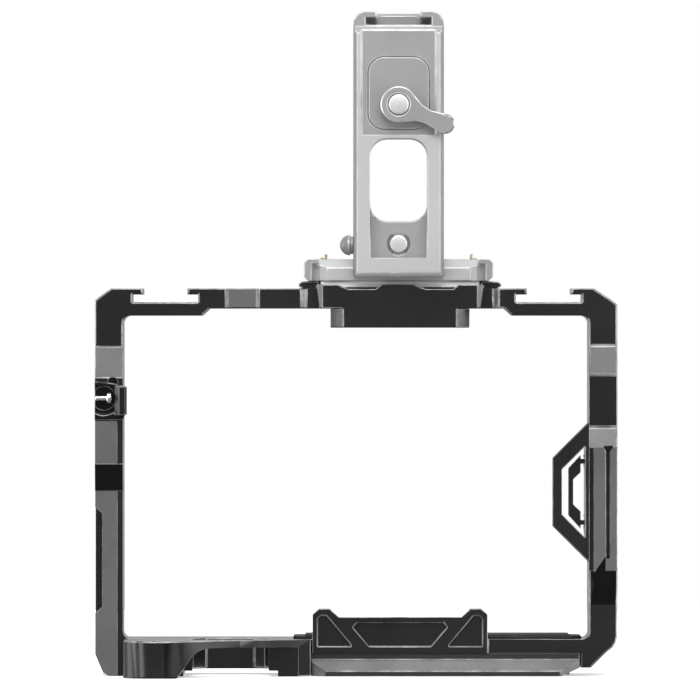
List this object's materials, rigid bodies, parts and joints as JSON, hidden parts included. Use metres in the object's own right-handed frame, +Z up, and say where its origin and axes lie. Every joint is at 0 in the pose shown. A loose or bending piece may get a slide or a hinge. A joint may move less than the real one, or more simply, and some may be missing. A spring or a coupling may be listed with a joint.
{
  "type": "camera cage",
  "caption": "Black ring-shaped camera cage with quick-release foot, cold shoes, camera screw and a light grey lift-off top handle with lock lever.",
  "frame": {"origin": "on the lens axis, at the underside and the mid-depth of the quick-release foot", "axes": "front faces -Y, +X to the right seen from the front, +Z up"},
  "size_m": [0.1473, 0.119, 0.1874],
  "materials": {
    "black_anodised": "fine bead-blasted black anodising with bright cut edges",
    "grey_anodised": "dark grey anodising, rubbed along the dovetail",
    "black_steel": "blackened steel",
    "bright_steel": "bright machined stainless steel",
    "magnet_plate": "nickel-plated magnet",
    "black_rubber": "matt black rubber with a fine grain",
    "black_clamp": "satin black anodising",
    "silver_anodised": "light silver-grey bead-blasted anodising",
    "silver_hardware": "satin mid-grey anodising with light chamfers",
    "brass_pin": "pale brass"
  },
  "bodies": {
    "cage": {"main_frame": "black_anodised", "quick_release_foot": "grey_anodised", "foot_screws": "black_steel", "floor_pads": "black_rubber", "lip_pad": "black_rubber", "top_mount": "black_anodised", "top_mount_screws": "black_steel", "strap_lug_clamp": "black_clamp", "strap_clamp_screw": "bright_steel", "cable_guard": "black_clamp", "cable_keeper": "black_clamp", "guard_screws": "black_steel", "key_magnets": "magnet_plate"},
    "camera_screw": {"camera_screw": "bright_steel"},
    "screw_ring": {"camera_screw_ring": "bright_steel"},
    "hex_key": {"hex_key": "bright_steel"},
    "handle": {"handle_foot": "silver_anodised", "handle_foot_screws": "black_steel", "handle_body": "silver_anodised", "post_screw": "bright_steel", "grip_pads": "black_rubber", "shoe_stop": "silver_hardware", "lock_plate": "silver_hardware", "pin_springs": "bright_steel", "button_spring": "bright_steel"},
    "lock_lever": {"lock_lever": "silver_hardware", "lever_screw": "bright_steel"},
    "lock_pins": {"lock_pins": "brass_pin"},
    "release_button": {"release_button": "silver_hardware"}
  },
  "joints": [
    {"name": "camera_screw_turn", "type": "hinge", "parent": "cage", "child": "camera_screw", "pos_m": [0, 0, 0.0032], "axis": [0, 0, 1], "continuous": true},
    {"name": "screw_ring_fold", "type": "hinge", "parent": "camera_screw", "child": "screw_ring", "pos_m": [0, 0.003, 0.0011], "axis": [1, 0, 0], "range_deg": [0, 100]},
    {"name": "hex_key_out", "type": "slide", "parent": "cage", "child": "hex_key", "axis": [0, 0, -1], "range_m": [0, 0.014]},
    {"name": "handle_lift", "type": "slide", "parent": "cage", "child": "handle", "axis": [0, 0, 1], "range_m": [0, 0.03]},
    {"name": "lock_lever_turn", "type": "hinge", "parent": "handle", "child": "lock_lever", "pos_m": [-0.0004, -0.02, 0.161], "axis": [0, 1, 0], "range_deg": [-110, 0]},
    {"name": "release_button_press", "type": "slide", "parent": "handle", "child": "release_button", "axis": [1, 0, 0], "range_m": [0, 0.0015], "stiffness_N_per_m": 600, "deforming": ["button_spring"]},
    {"name": "lock_pins_lift", "type": "slide", "parent": "handle", "child": "lock_pins", "axis": [0, 0, 1], "range_m": [0, 0.0015], "stiffness_N_per_m": 300, "deforming": ["pin_springs"]}
  ],
  "couplings": [
    {"joint": "lock_pins_lift", "follows": "release_button_press", "ratio": 1}
  ]
}
